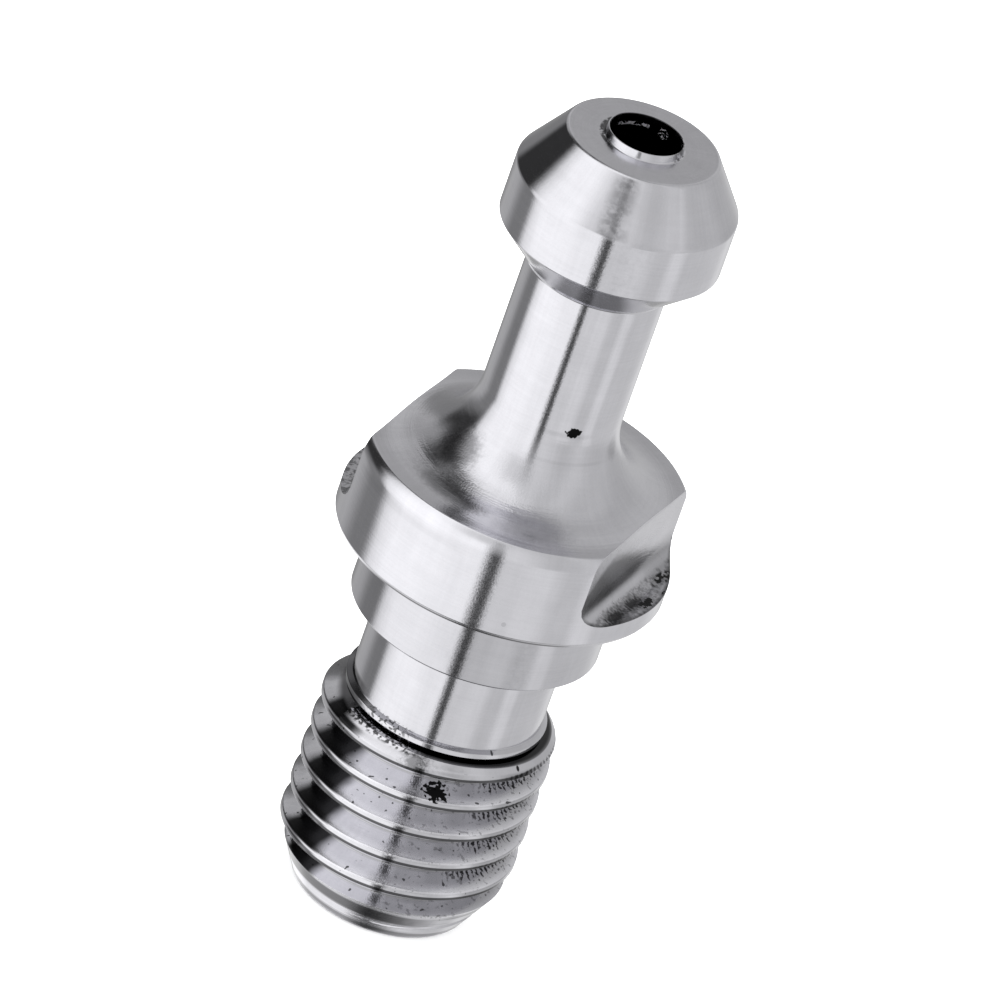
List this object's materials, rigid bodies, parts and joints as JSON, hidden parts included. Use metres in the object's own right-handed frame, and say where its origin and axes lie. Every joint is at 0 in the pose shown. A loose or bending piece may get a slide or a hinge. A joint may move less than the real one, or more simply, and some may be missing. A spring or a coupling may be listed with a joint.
{
  "type": "pull stud",
  "caption": "Turned retention knob for a taper tool holder: conical gripping head, swept neck, flange with wrench flats, pilot and threaded shank around a through coolant hole.",
  "frame": {"origin": "on the stud's axis, in the plane of the flange's seating face, where the pilot starts", "axes": "+Z along the stud's axis towards the gripping head; +X square to one wrench flat; +Y along the flats"},
  "size_m": [0.0164, 0.0164, 0.044],
  "materials": {
    "ground_steel": "fine turned and ground, bright, uncoated"
  },
  "bodies": {
    "root": {"pull_stud": "ground_steel"}
  },
  "joints": []
}
